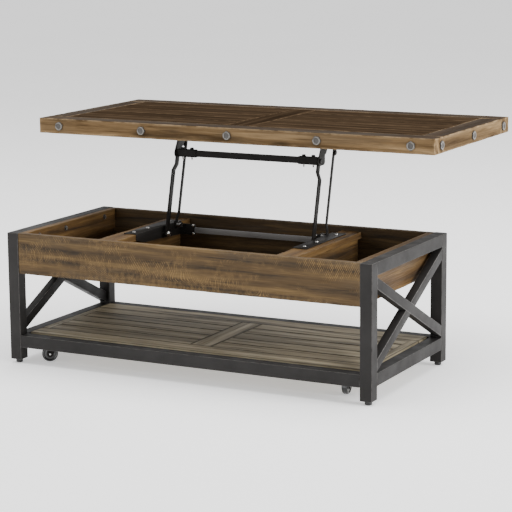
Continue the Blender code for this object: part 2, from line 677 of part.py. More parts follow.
def build_mechanism():
    arm_axis = axis_empty("front_arm_axis", FRONT_LOWER)
    for side, across in SIDES.items():
        finish(base_plate(across), f"lift_base_plate_{side}", "black_steel")
        finish(front_arm(across), f"lift_front_arm_{side}", "black_steel")
        finish(rear_arm(across), f"lift_rear_arm_{side}", "black_steel")
        bracket = finish(top_bracket(across), f"lift_top_bracket_{side}", "black_steel")
        hang_from(TOP_AXIS, bracket)
        finish(torsion_spring(across), f"lift_spring_{side}", "zinc_steel")
    reach = FRONT_TOP_PLANE - FRONT_ARM[1] / 2 - GAP
    half_y = TUBE_SECTION[0] / 2
    half_z = TUBE_SECTION[1] / 2
    tube = box((-reach, FRONT_UPPER.y - half_y, FRONT_UPPER.z - half_z),
               (reach, FRONT_UPPER.y + half_y, FRONT_UPPER.z + half_z), 0.0012)
    hang_from(arm_axis, finish(tube, "lift_cross_tube", "black_steel"))
    bar_y = REAR_LOWER.y + TAB_BEHIND - GAP
    reach = WEB_FACE - TAB_LENGTH + SPACER_LAP
    spacer = box((-reach, bar_y - SPACER_THICK, SPACER_LOW), (reach, bar_y, SPACER_HIGH), SHEET_BEVEL)
    finish(spacer, "lift_spacer_bar", "zinc_steel")


# Lifting top

def edge_bolt(point, outward):
    """A hexagon head that stands out of an edge board."""
    point = Vector(point)
    outward = Vector(outward)
    radius = BOLT_FLATS / math.sqrt(3)
    return cylinder(point - outward * 0.004, point + outward * BOLT_HEAD, radius, 6)


def build_top():
    top = TOP_BOTTOM + TOP_THICK
    middle_z = TOP_BOTTOM + TOP_THICK / 2
    reach = TOP_WIDTH / 2
    back = TOP_FRONT + TOP_DEPTH
    middle_y = (TOP_FRONT + back) / 2
    for end, y, outward in (("front", TOP_FRONT, -1), ("rear", back, 1)):
        ends = sorted((y, y - outward * TOP_BORDER))
        edge = box((-reach, ends[0], TOP_BOTTOM), (reach, ends[1], top), TOP_BEVEL)
        for i in (-2, -1, 0, 1, 2):
            combine(edge, edge_bolt((i * BOLT_SPACING_X, y, middle_z), (0, outward, 0)), "UNION")
        for across in SIDES.values():
            place = (across * reach, y - outward * BOLT_END_INSET, middle_z)
            combine(edge, edge_bolt(place, (across, 0, 0)), "UNION")
        hang_from(TOP_AXIS, finish(edge, f"top_edge_{end}", "top_edge_wood"))
    inner_front = TOP_FRONT + TOP_BORDER + GAP
    inner_back = back - TOP_BORDER - GAP
    for side, across in SIDES.items():
        ends = sorted((across * reach, across * (reach - TOP_BORDER)))
        edge = box((ends[0], inner_front, TOP_BOTTOM), (ends[1], inner_back, top), TOP_BEVEL)
        combine(edge, edge_bolt((across * reach, middle_y, middle_z), (across, 0, 0)), "UNION")
        hang_from(TOP_AXIS, finish(edge, f"top_edge_{side}", "top_edge_wood"))
    inner = reach - TOP_BORDER - GAP
    panel = board((-inner, inner_front, TOP_BOTTOM), (inner, inner_back, top), "top_panel", "top_wood")
    hang_from(TOP_AXIS, panel)


clear_scene()
TABLE = collection("lift_top_coffee_table")
MATERIAL = make_materials()
TOP_AXIS = axis_empty("top_axis", FRONT_UPPER)
build_posts()
build_rails()
build_braces()
build_box()
build_shelf()
for caster_name, caster_heading in CASTER_HEADINGS.items():
    build_caster(caster_name, caster_heading)
build_mechanism()
build_top()
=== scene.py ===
"""Looks for the lift top coffee table: worn boards, painted steel tube, lift hardware and casters."""
import json
import math

import bmesh
import bpy
import numpy as np
from mathutils import Matrix, Vector


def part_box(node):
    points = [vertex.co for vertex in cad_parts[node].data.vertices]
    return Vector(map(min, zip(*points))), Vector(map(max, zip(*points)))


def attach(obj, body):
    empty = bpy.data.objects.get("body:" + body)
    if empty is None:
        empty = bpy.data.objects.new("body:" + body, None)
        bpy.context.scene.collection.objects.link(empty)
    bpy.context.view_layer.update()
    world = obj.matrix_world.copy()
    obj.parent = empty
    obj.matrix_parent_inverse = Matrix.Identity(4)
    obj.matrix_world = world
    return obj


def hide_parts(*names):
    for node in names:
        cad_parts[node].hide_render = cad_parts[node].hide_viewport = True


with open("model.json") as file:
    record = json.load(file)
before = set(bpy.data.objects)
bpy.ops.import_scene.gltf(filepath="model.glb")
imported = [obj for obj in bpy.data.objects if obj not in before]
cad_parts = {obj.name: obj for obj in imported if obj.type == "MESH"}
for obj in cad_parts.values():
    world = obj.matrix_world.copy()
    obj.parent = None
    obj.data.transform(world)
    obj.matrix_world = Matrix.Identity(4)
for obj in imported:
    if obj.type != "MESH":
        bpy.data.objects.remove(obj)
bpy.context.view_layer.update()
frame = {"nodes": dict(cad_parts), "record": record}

# Camera, in the table's frame (metres, radians)
CAMERA_PLACE = (2.69663, -5.18210, 1.40404)
CAMERA_AZIMUTH = 0.47810
CAMERA_DROP = 0.18615
CAMERA_ROLL = -0.00792
CAMERA_LENS = 134.34

SIDES = {"left": -1, "right": 1}
GAP = 0.0003                     # left between pieces that touch

# How a board is worn: an arris's smallest radius, what wear adds to it, and how far its faces sink
TUBE_FORM = (0.0024, 0.0005, 0.0)
BOX_FORM = (0.0008, 0.0018, 0.0005)
LEDGE_FORM = (0.0008, 0.0034, 0.0005)
SHELF_FORM = (0.0008, 0.0016, 0.0005)
PLANK_FORM = (0.0008, 0.0030, 0.0008)
CLEAT_FORM = (0.0008, 0.0012, 0.0004)
BORDER_FORM = (0.0008, 0.0022, 0.0004)
FIELD_FORM = (0.0006, 0.0012, 0.0005)
PLATE_FORM = (0.0006, 0.0003, 0.0)
EDGE_REACH = 0.007               # width of the band beside an arris: worn, with painted shade on wood and a painted highlight on paint
FADE = 0.004                     # faces sink fully this far from an arris
UPPER_DEPTH = 0.0008             # what counts as the upper face of a crowned board

# Mesh cells along X, Y and Z
TUBE_CELL = (0.03, 0.03, 0.03)
BOX_CELL = (0.010, 0.012, 0.008)
FLOOR_CELL = (0.010, 0.03, 0.02)
SHELF_CELL = (0.010, 0.010, 0.01)
CLEAT_CELL = (0.012, 0.012, 0.01)
LONG_BORDER_CELL = (0.010, 0.008, 0.008)
SHORT_BORDER_CELL = (0.008, 0.010, 0.008)
FIELD_CELL = (0.010, 0.012, 0.012)
PLATE_CELL = (0.01, 0.01, 0.01)

# Shelf and top
PLANKS = 5                       # in each field of the shelf and of the top
SHELF_GROOVE = 0.0055
CLEAT_INSET = 0.038              # cleats' ends, from the planks' ends
CLEATS = ((0, 0.060), (-0.26, 0.018), (0.26, 0.018), (-0.535, 0.018), (0.535, 0.018))   # middle, half width
TOP_GROOVE = 0.0008
TOP_CROSS_HALF = 0.040           # half the width of the top's cross board

# Saw marks on the aprons' outer faces
SAW_PITCH = 0.0058
SAW_MIDDLE = sum(corner.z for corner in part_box("box_apron_front")) / 2
SAW_LIGHT = 1.7
BOX_MIDDLE = (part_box("box_apron_front")[0].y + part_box("box_apron_rear")[1].y) / 2
BOX_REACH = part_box("box_apron_rear")[1].y - BOX_MIDDLE

# Fasteners
BOLT_FLATS = 0.025
BOLT_PROUD = 0.0048
BOLT_ROOM = 0.005                # the CAD's bolt heads stand this far out of the edge boards
BOLT_SPACING = 0.2985
BOLT_CORNER = 0.050              # end boards' outer bolts, from the corner
BOX_BOLT_FLATS = 0.011
BOX_BOLTS_ALONG = (0.13, 0.42, 0.87)        # along an end board, from the front
NUT_FLATS = 0.011
PIVOT_NUT_FLATS = 0.014
PIVOT_NUT_FACE = 0.2500 - 0.0025 - 0.0004   # inner face of the lower front pin's head
SLEEVE_WALL = 0.0021
SLEEVE_NUTS = (0.016, 0.048)     # from the cross tube's end
PLATE_SCREWS_ALONG = (0.10, 0.40, 0.90)     # along a base plate, from the front
PLATE_SCREW_IN = 0.020           # from a base plate's outer edge
FLANGE_RISE = 0.0028             # a base plate's upper face, above the ledge
TAB_SCREWS = ((-0.006, 0.384), (-0.006, 0.3575), (-0.034, 0.383), (-0.034, 0.3585))     # inwards, height
FASTENER_TURN = 0.3

# Springs
WIRE_RADIUS = 0.00095
SPRING_MARGIN = 0.001            # wire's centre line, inside the CAD's box
SPRING_TURNS = 5
SPRING_STEPS = 28
SPRING_LEG = 0.0088

# Casters
WHEEL_RADIUS = 0.025
WHEEL_HALF = 0.009               # half the wheel's width
WHEEL_SIDE = 0.0006              # between the wheel and each cheek of its fork
CHEEK = 0.0025                   # thickness of a cheek
MOUNT_HALF = 0.026               # half the mounting plate's width

# Lights: name, place, size in metres, power in watts
LAMPS = (("key", (6.0, 0.3, 2.4), 2.4, 420), ("fill", (-2.6, -5.0, 1.2), 3.0, 60),
         ("overhead", (0.0, 0.3, 5.0), 5.0, 330))
LAMP_AIM = Vector((0, 0, 0.4))
WORLD_LIGHT = 0.85
FLOOR_REACH = 30
FLOOR_GLOW = 0.5

JOINTS = {joint["name"]: joint for joint in frame["record"]["behaviour"]["joints"]}


# Node materials

class Graph:
    """A short way to write a material's nodes."""

    def __init__(self, name):
        self.material = bpy.data.materials.new(name)
        self.material.use_nodes = True
        self.tree = self.material.node_tree
        self.shader = self.tree.nodes["Principled BSDF"]

    def add(self, kind, inputs=None, **settings):
        node = self.tree.nodes.new("ShaderNode" + kind)
        for key, value in settings.items():
            setattr(node, key, value)
        for key, value in (inputs or {}).items():
            self.put(node.inputs[key], value)
        return node

    def put(self, socket, value):
        if isinstance(value, bpy.types.NodeSocket):
            self.tree.links.new(value, socket)
        else:
            socket.default_value = value

    def place(self, scale, seed=None):
        """Object coordinates stretched by a scale, moved by a board's own seed."""
        coords = self.add("TexCoord").outputs["Object"]
        out = self.add("VectorMath", {0: coords, 1: scale}, operation="MULTIPLY").outputs[0]
        if seed is not None:
            far = {0: (37.1, 53.7, 91.3), "Scale": seed}
            jump = self.add("VectorMath", far, operation="SCALE").outputs[0]
            out = self.add("VectorMath", {0: out, 1: jump}, operation="ADD").outputs[0]
        return out

    def noise(self, vector, scale=1.0, detail=4.0, roughness=0.55, distortion=0.0):
        node = self.add("TexNoise", {"Vector": vector, "Scale": scale, "Detail": detail,
                                     "Roughness": roughness, "Distortion": distortion})
        return node.outputs["Fac"]

    def ramp(self, fac, stops):
        node = self.add("ValToRGB", {"Fac": fac})
        elements = node.color_ramp.elements
        node.color_ramp.interpolation = "EASE"
        elements[0].position, elements[0].color = stops[0][0], (*stops[0][1], 1)
        elements[1].position, elements[1].color = stops[-1][0], (*stops[-1][1], 1)
        for place, colour in stops[1:-1]:
            elements.new(place).color = (*colour, 1)
        return node.outputs["Color"]

    def level(self, value, low, high, out_low=0.0, out_high=1.0):
        node = self.add("MapRange", {"Value": value, "From Min": low, "From Max": high,
                                     "To Min": out_low, "To Max": out_high})
        return node.outputs["Result"]

    def math(self, operation, a, b=0.0):
        return self.add("Math", {0: a, 1: b}, operation=operation).outputs[0]

    def mix(self, fac, a, b, blend="MIX"):
        node = self.add("Mix", data_type="RGBA", blend_type=blend)
        self.put(node.inputs[0], fac)
        self.put(node.inputs[6], a if isinstance(a, bpy.types.NodeSocket) else (*a, 1))
        self.put(node.inputs[7], b if isinstance(b, bpy.types.NodeSocket) else (*b, 1))
        return node.outputs[2]

    def shade(self, colour, value):
        """A colour multiplied by a grey value."""
        grey = self.add("CombineColor", {0: value, 1: value, 2: value}).outputs[0]
        return self.mix(1.0, colour, grey, "MULTIPLY")

    def board(self):
        """Tone, seed, nearness to an arris (for wear, painted shade and painted highlight) and upper face,
        which the boards' meshes carry.
        """
        data = self.add("Attribute", attribute_name="board", attribute_type="GEOMETRY")
        parts = self.add("SeparateColor", {0: data.outputs["Color"]})
        return parts.outputs[0], parts.outputs[1], parts.outputs[2], data.outputs["Alpha"]

    def bump(self, height, strength, distance, normal=None):
        inputs = {"Height": height, "Strength": strength, "Distance": distance}
        if normal is not None:
            inputs["Normal"] = normal
        return self.add("Bump", inputs).outputs[0]

    def finish(self, colour, roughness, normal=None, **uniform):
        self.put(self.shader.inputs["Base Color"], colour)
        self.put(self.shader.inputs["Roughness"], roughness)
        if normal is not None:
            self.put(self.shader.inputs["Normal"], normal)
        for name, value in uniform.items():
            self.shader.inputs[name.replace("_", " ")].default_value = value
        return self.material


def stretched(grain, along, across):
    """A scale that is small along the grain and large across it."""
    return tuple(along if axis == grain else across for axis in range(3))


def wood_material(name, grain, colours, worn, grey, rough=(0.45, 0.75), saw=0.0, ridge=0.4, stain=0.55,
                  crown=None, gloss=0.25, gap_shade=0.0):
    """Sawn and worn boards, their grain along one axis. Colours run from dark to light."""
    g = Graph(name)
    tone, seed, edge, upper = g.board()
    figure = g.noise(g.place(stretched(grain, 3.4, 46.0), seed), 1.0, 6.0, 0.66, 0.7)
    rings = g.add("TexWave", {"Vector": g.place(stretched(grain, 0.35, 9.0), seed), "Scale": 1.3,
                              "Distortion": 9.0, "Detail": 4.0, "Detail Scale": 1.1, "Detail Roughness": 0.6},
                  wave_type="BANDS", bands_direction="DIAGONAL").outputs["Fac"]
    fibres = g.noise(g.place(stretched(grain, 9.0, 330.0), seed), 1.0, 3.0, 0.7)
    pores = g.noise(g.place(stretched(grain, 28.0, 900.0), seed), 1.0, 2.0, 0.6)
    both = g.math("ADD", g.math("MULTIPLY", figure, 0.80), g.math("MULTIPLY", rings, 0.20))
    dark, middle, light = colours
    colour = g.ramp(both, [(0.30, dark), (0.50, middle), (0.72, light)])
    if crown is not None:
        above = g.ramp(both, [(0.30, crown[0]), (0.50, crown[1]), (0.72, crown[2])])
        colour = g.mix(upper, colour, above)
    colour = g.shade(colour, g.level(fibres, 0.3, 0.7, 0.76, 1.16))
    broad = g.noise(g.place(stretched(grain, 1.3, 9.0), seed), 1.0, 3.0, 0.5, 0.4)
    colour = g.shade(colour, g.level(broad, 0.3, 0.7, 0.78, 1.22))
    colour = g.shade(colour, g.level(tone, 0.0, 1.0, 0.76, 1.24))
    patches = g.noise(g.place(stretched(grain, 2.4, 11.0), seed), 1.0, 5.0, 0.65, 0.5)
    colour = g.mix(g.math("MULTIPLY", g.level(patches, 0.52, 0.72), stain), colour, grey)
    knots = g.add("TexVoronoi", {"Vector": g.place(stretched(grain, 3.2, 11.0), seed), "Scale": 1.0,
                                 "Randomness": 1.0}).outputs["Distance"]
    knot = g.level(knots, 0.13, 0.03)
    colour = g.mix(g.math("MULTIPLY", knot, 0.75), colour, tuple(c * 0.35 for c in dark))
    cracks = g.noise(g.place(stretched(grain, 3.0, 120.0), seed), 1.0, 2.0, 0.5, 0.3)
    crack = g.level(cracks, 0.33, 0.25)
    colour = g.mix(g.math("MULTIPLY", crack, 0.6), colour, tuple(c * 0.3 for c in dark))
    normal = None
    if saw:
        turn = g.noise(g.place(stretched(grain, 3.2, 9.0), seed), 1.0, 1.0, 0.5)
        lean = g.level(turn, 0.42, 0.58, -0.5, 0.9)
        spot = g.add("SeparateXYZ", {0: g.add("TexCoord").outputs["Object"]})
        above = g.math("SUBTRACT", spot.outputs[2], SAW_MIDDLE)
        slant = g.math("ADD", spot.outputs[0], g.math("MULTIPLY", above, lean))
        strokes = g.math("SINE", g.math("MULTIPLY", slant, math.tau / SAW_PITCH))
        ragged = g.noise(g.place((90.0, 90.0, 45.0), seed), 1.0, 3.0, 0.6)
        marks = g.math("MULTIPLY", g.level(strokes, 0.0, 0.9), g.level(ragged, 0.40, 0.58))
        where = g.level(g.noise(g.place(stretched(grain, 5.0, 15.0), seed), 1.0, 3.0, 0.6), 0.42, 0.52)
        away = g.math("ABSOLUTE", g.math("SUBTRACT", spot.outputs[1], BOX_MIDDLE))
        where = g.math("MULTIPLY", where, g.level(away, BOX_REACH - 0.006, BOX_REACH - 0.003))
        marks = g.math("MULTIPLY", marks, g.math("MULTIPLY", where, saw))
        colour = g.mix(g.math("MULTIPLY", marks, 0.85), colour, tuple(c * SAW_LIGHT for c in light))
        normal = g.bump(marks, 0.5, 0.0010)
    # Painted shade: each board darkens towards its arrises, standing in for the shade in the gaps between
    # boards.
    if gap_shade:
        gap_shade_mask = g.math("MULTIPLY", g.level(edge, 0.35, 0.9), gap_shade)
        colour = g.mix(gap_shade_mask, colour, tuple(c * 0.45 for c in dark))
    breakup = g.noise(g.place(stretched(grain, 26.0, 90.0), seed), 1.0, 4.0, 0.65)
    wear = g.math("MULTIPLY", g.level(edge, 0.25, 0.95), g.level(breakup, 0.40, 0.62))
    colour = g.mix(g.math("MULTIPLY", wear, 0.75), colour, worn)
    height = g.math("ADD", g.math("MULTIPLY", fibres, 0.6), g.math("MULTIPLY", pores, 0.25))
    height = g.math("SUBTRACT", height, g.math("MULTIPLY", crack, 0.8))
    normal = g.bump(height, ridge, 0.0006, normal)
    return g.finish(colour, g.level(fibres, 0.3, 0.75, rough[1], rough[0]), normal, Specular_IOR_Level=gloss)


def paint_material(name, base, bright, rough=(0.42, 0.58), metallic=0.0, gloss=0.4):
    """Powder-coated steel: a fine skin, faint mottling, and edges lightened by worn paint and by a painted
    highlight.
    """
    g = Graph(name)
    _, seed, edge, _ = g.board()
    cloud = g.noise(g.place((7.0, 7.0, 7.0), seed), 1.0, 5.0, 0.6)
    skin = g.noise(g.place((900.0, 900.0, 900.0), seed), 1.0, 2.0, 0.5)
    rub_and_highlight = g.noise(g.place((60.0, 60.0, 60.0), seed), 1.0, 4.0, 0.7)
    mottle = g.ramp(cloud, [(0.3, tuple(c * 0.82 for c in base)), (0.7, tuple(c * 1.18 for c in base))])
    colour = g.shade(mottle, g.level(skin, 0.3, 0.7, 0.9, 1.1))
    # Edges near an arris lighten towards the bright colour: partly worn paint, partly a painted highlight on
    # the rounded arrises.
    wear = g.math("MULTIPLY", g.level(edge, 0.80, 1.0), g.level(rub_and_highlight, 0.30, 0.56))
    colour = g.mix(g.math("MULTIPLY", wear, 0.7), colour, bright)
    smudge = g.level(g.noise(g.place((16.0, 16.0, 16.0), seed), 1.0, 3.0, 0.6), 0.3, 0.7, rough[0], rough[1])
    return g.finish(colour, smudge, g.bump(skin, 0.18, 0.0003), Metallic=metallic,
                    Specular_IOR_Level=gloss)


def metal_material(name, base, rough=(0.22, 0.42)):
    """Plated steel with fine drawing lines and dull patches."""
    g = Graph(name)
    lines_seen = g.noise(g.place((14.0, 600.0, 600.0)), 1.0, 2.0, 0.6)
    dull = g.noise(g.place((45.0, 45.0, 45.0)), 1.0, 4.0, 0.6)
    colour = g.ramp(dull, [(0.3, tuple(c * 0.6 for c in base)), (0.6, base)])
    colour = g.shade(colour, g.level(lines_seen, 0.3, 0.7, 0.85, 1.1))
    return g.finish(colour, g.level(dull, 0.3, 0.7, rough[1], rough[0]), g.bump(lines_seen, 0.15, 0.0002),
                    Metallic=1.0)


def plastic_material(name, base, rough, coat=0.0):
    """Moulded black plastic or rubber with dust in its pores."""
    g = Graph(name)
    grain = g.noise(g.place((420.0, 420.0, 420.0)), 1.0, 3.0, 0.6)
    dust = g.noise(g.place((38.0, 38.0, 38.0)), 1.0, 4.0, 0.65)
    colour = g.mix(g.level(dust, 0.55, 0.8, 0.0, 0.3), base, tuple(c * 3 + 0.006 for c in base))
    return g.finish(colour, g.level(dust, 0.35, 0.75, rough[0], rough[1]), g.bump(grain, 0.12, 0.0002),
                    Coat_Weight=coat, Coat_Roughness=0.08)


def floor_material():
    """A white studio floor that glows a little."""
    g = Graph("studio_floor")
    soft = g.noise(g.place((0.7, 0.7, 0.7)), 1.0, 2.0, 0.5)
    return g.finish(g.ramp(soft, [(0.3, (0.90, 0.90, 0.90)), (0.7, (0.92, 0.92, 0.92))]),
                    g.level(soft, 0.3, 0.7, 0.8, 0.9), Emission_Color=(1.0, 1.0, 1.0, 1.0),
                    Emission_Strength=FLOOR_GLOW)


BOX_COLOURS = ((0.021, 0.0125, 0.0046), (0.061, 0.035, 0.0120), (0.122, 0.074, 0.026))
INNER_COLOURS = ((0.036, 0.0185, 0.0055), (0.090, 0.047, 0.0140), (0.160, 0.091, 0.029))
TOP_COLOURS = ((0.0195, 0.0126, 0.0076), (0.034, 0.0220, 0.0130), (0.056, 0.037, 0.022))
EDGE_COLOURS = ((0.060, 0.036, 0.0165), (0.135, 0.086, 0.042), (0.245, 0.163, 0.084))
SHELF_COLOURS = ((0.110, 0.089, 0.055), (0.290, 0.242, 0.155), (0.480, 0.415, 0.285))
GREY_TOP = (0.026, 0.0185, 0.0130)
WORN_SHELF = (0.11, 0.092, 0.060)
GREY_SHELF = (0.055, 0.046, 0.032)
WORN_WOOD = (0.140, 0.093, 0.045)
WORN_EDGE = (0.360, 0.255, 0.145)
WORN_TOP = (0.130, 0.086, 0.050)
GREY_WOOD = (0.050, 0.041, 0.031)

WOOD = {
    "apron": wood_material("box_wood_sawn", 0, BOX_COLOURS, WORN_WOOD, GREY_WOOD, saw=1.0, ridge=0.55),
    "box_x": wood_material("box_wood_long", 0, INNER_COLOURS, WORN_WOOD, GREY_WOOD),
    "box_y": wood_material("box_wood_cross", 1, INNER_COLOURS, WORN_WOOD, GREY_WOOD),
    # The top and the shelf darken along their boards' arrises as painted shade.
    "top_x": wood_material("top_wood_long", 0, TOP_COLOURS, WORN_TOP, GREY_TOP,
                           (0.55, 0.75), ridge=0.3, stain=0.4, gloss=0.0, gap_shade=0.45),
    "top_y": wood_material("top_wood_cross", 1, TOP_COLOURS, WORN_TOP, GREY_TOP,
                           (0.55, 0.75), ridge=0.3, stain=0.4, gloss=0.0, gap_shade=0.45),
    "edge_x": wood_material("top_edge_wood_long", 0, EDGE_COLOURS, WORN_EDGE, GREY_WOOD, ridge=0.35,
                            crown=TOP_COLOURS, gloss=0.02),
    "edge_y": wood_material("top_edge_wood_cross", 1, EDGE_COLOURS, WORN_EDGE, GREY_WOOD, ridge=0.35,
                            crown=TOP_COLOURS, gloss=0.02),
    "shelf_x": wood_material("shelf_wood_long", 0, SHELF_COLOURS, WORN_SHELF, GREY_SHELF,
                             (0.42, 0.65), ridge=0.6, gap_shade=0.9),
    "shelf_y": wood_material("shelf_wood_cross", 1, SHELF_COLOURS, WORN_SHELF, GREY_SHELF,
                             (0.42, 0.65), ridge=0.6, gap_shade=0.9),
}
# Each paint's second colour is what its edges lighten to: worn paint and a painted highlight.
STEEL = paint_material("frame_steel_paint", (0.0225, 0.0210, 0.0202), (0.190, 0.182, 0.174), gloss=0.12)
BLACK = paint_material("lift_black_paint", (0.0125, 0.0112, 0.0102), (0.075, 0.070, 0.065), (0.38, 0.52),
                       gloss=0.08)
DARK_BOLT = paint_material("dark_bolt_steel", (0.038, 0.033, 0.028), (0.27, 0.25, 0.22), (0.25, 0.4),
                           gloss=0.5)
ZINC = metal_material("zinc_plate", (0.33, 0.325, 0.32))
BAR_ZINC = paint_material("spacer_bar_zinc", (0.150, 0.147, 0.144), (0.40, 0.39, 0.38), (0.40, 0.55),
                          metallic=0.3)
BRIGHT = metal_material("bright_screw_steel", (0.62, 0.61, 0.59), (0.18, 0.34))
CHROME = metal_material("bright_chrome", (0.75, 0.75, 0.74), (0.08, 0.2))
TYRE = plastic_material("caster_black_gloss", (0.0040, 0.0040, 0.0042), (0.07, 0.20), 0.6)
FOOT = plastic_material("foot_black_plastic", (0.010, 0.010, 0.010), (0.45, 0.6))


# Mesh helpers

def waves(points, rng, count, longest, shortest):
    """A smooth random field, mostly between -1 and 1."""
    total = np.zeros(len(points))
    for _ in range(count):
        direction = rng.normal(size=3)
        direction /= np.linalg.norm(direction)
        length = math.exp(rng.uniform(math.log(shortest), math.log(longest)))
        total += np.sin(points @ direction * math.tau / length + rng.uniform(0, math.tau))
    return total / math.sqrt(count)


def grid_lines(half, cell, reach):
    """Positions along one side of a board, close together near both ends."""
    near = np.array([0.0, 0.14, 0.32, 0.55, 0.85, 1.3]) * min(reach, half * 0.55)
    inner = half - near[-1]
    middle = np.linspace(-inner, inner, max(2, int(2 * inner / cell) + 1) + 1)[1:-1]
    return np.unique(np.concatenate([-half + near, middle, half - near]))


def board_arrays(low, high, rng, cell, crisp, worn, sink, tone=None, crown=False):
    """A board with softly worn arrises and slightly uneven faces, inside the box between two corners."""
    low = np.array(low, float)
    high = np.array(high, float)
    half = (high - low) / 2
    worn = min(worn, float(half.min()) * 0.6)
    marks = [grid_lines(half[i], cell[i], worn + crisp) for i in range(3)]
    corners = []
    for axis in range(3):
        u, v = (axis + 1) % 3, (axis + 2) % 3
        grid_u, grid_v = np.meshgrid(np.arange(len(marks[u]) - 1), np.arange(len(marks[v]) - 1),
                                     indexing="ij")
        for end in (0, len(marks[axis]) - 1):
            order = [(0, 0), (1, 0), (1, 1), (0, 1)] if end else [(0, 0), (0, 1), (1, 1), (1, 0)]
            quad = np.zeros((grid_u.size, 4, 3), int)
            quad[:, :, axis] = end
            for k, (du, dv) in enumerate(order):
                quad[:, k, u] = grid_u.ravel() + du
                quad[:, k, v] = grid_v.ravel() + dv
            corners.append(quad.reshape(-1, 3))
    index, inverse = np.unique(np.concatenate(corners), axis=0, return_inverse=True)
    quads = inverse.reshape(-1, 4)
    points = np.stack([marks[i][index[:, i]] for i in range(3)], axis=1)
    depth = np.sort(half - np.abs(points), axis=1)
    edge = np.clip(1 - depth[:, 1] / EDGE_REACH, 0, 1)
    rough = np.clip(0.5 + 0.5 * waves(points, rng, 9, 0.12, 0.012), 0, 1)
    radius = (crisp + worn * rough ** 2)[:, None]
    core = np.clip(points, -(half - radius), half - radius)
    out = points - core
    rounded = core + out / np.maximum(np.linalg.norm(out, axis=1), 1e-9)[:, None] * radius
    face = np.argmin(half - np.abs(points), axis=1)
    uneven = np.clip(0.5 + 0.5 * waves(points, rng, 7, 0.35, 0.03), 0, 1)
    fall = sink * uneven * np.clip(depth[:, 1] / FADE, 0, 1)
    rows = np.arange(len(points))
    rounded[rows, face] -= np.sign(points[rows, face]) * fall
    values = np.zeros((len(points), 4))
    values[:, 0] = rng.uniform(0.2, 0.8) if tone is None else tone
    values[:, 1] = rng.uniform(0.0, 1.0)
    values[:, 2] = edge
    if crown:
        values[:, 3] = (half[2] - points[:, 2]) < UPPER_DEPTH
    return rounded + (low + high) / 2, quads, values


def mesh_piece(name, material, parts):
    """One object from several boards' arrays."""
    points = np.concatenate([p[0] for p in parts])
    values = np.concatenate([p[2] for p in parts])
    starts = np.cumsum([0] + [len(p[0]) for p in parts[:-1]])
    quads = np.concatenate([p[1] + start for p, start in zip(parts, starts)])
    mesh = bpy.data.meshes.new(name)
    mesh.from_pydata(points.tolist(), [], quads.tolist())
    data = mesh.attributes.new("board", "FLOAT_COLOR", "POINT")
    data.data.foreach_set("color", values.ravel())
    mesh.shade_smooth()
    return show(name, mesh, material)


def show(name, mesh, material):
    """Put a mesh in the scene with one material."""
    mesh.materials.clear()
    mesh.materials.append(material)
    item = bpy.data.objects.new(name, mesh)
    bpy.context.scene.collection.objects.link(item)
    return item


def settle(item, body, slot, *nodes):
    """Let a piece ride on a body and stand for CAD nodes. The slot is not used."""
    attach(item, body)
    if nodes:
        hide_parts(*nodes)
    return item


def softened(node, material, body, slot, bevel, segments=2):
    """A copy of a CAD solid with its flat facets joined and its edges rounded, the rounded faces marked for
    worn paint and a painted highlight.
    """
    source = frame["nodes"][node].data
    shape = bmesh.new()
    shape.from_mesh(source)
    bmesh.ops.remove_doubles(shape, verts=shape.verts, dist=0.00002)
    bmesh.ops.dissolve_limit(shape, angle_limit=math.radians(2), verts=shape.verts, edges=shape.edges)
    edges = [e for e in shape.edges if e.is_manifold and e.calc_face_angle() > math.radians(28)]
    made = bmesh.ops.bevel(shape, geom=edges, offset=bevel, segments=segments, profile=0.5,
                           affect="EDGES", clamp_overlap=True)
    shape.faces.index_update()
    # Bevel faces get a full edge value, which the paints lighten as worn paint and a painted highlight.
    rub_and_highlight = {f.index for f in made["faces"] if f.is_valid}
    mesh = bpy.data.meshes.new(node + "_soft")
    shape.to_mesh(mesh)
    shape.free()
    data = mesh.attributes.new("board", "FLOAT_COLOR", "CORNER")
    seed = sum(map(ord, node)) % 97 / 97
    for face in mesh.polygons:
        for corner in face.loop_indices:
            data.data[corner].color = (0.5, seed, 1.0 if face.index in rub_and_highlight else 0.0, 0.0)
    mesh.shade_smooth()
    mesh.set_sharp_from_angle(angle=math.radians(40))
    return settle(show(node + "_soft", mesh, material), body, slot, node)


def rings_mesh(name, rings, closed_start=True):
    """A skin over rings of points, each ring with the same count. A face closes the last ring."""
    count = len(rings[0])
    shape = bmesh.new()
    made = [[shape.verts.new(p) for p in ring] for ring in rings]
    for a, b in zip(made, made[1:]):
        for i in range(count):
            shape.faces.new((a[i], a[(i + 1) % count], b[(i + 1) % count], b[i]))
    if closed_start:
        shape.faces.new(list(reversed(made[0])))
    shape.faces.new(made[-1])
    mesh = bpy.data.meshes.new(name)
    shape.to_mesh(mesh)
    shape.free()
    return mesh


def lathe(name, profile, steps):
    """A turned mesh about Z from (radius, height) points, closed at both ends."""
    angles = [math.tau * i / steps for i in range(steps)]
    rings = [[(radius * math.cos(a), radius * math.sin(a), height) for a in angles]
             for radius, height in profile]
    mesh = rings_mesh(name, rings)
    mesh.shade_smooth()
    mesh.set_sharp_from_angle(angle=math.radians(38))
    return mesh


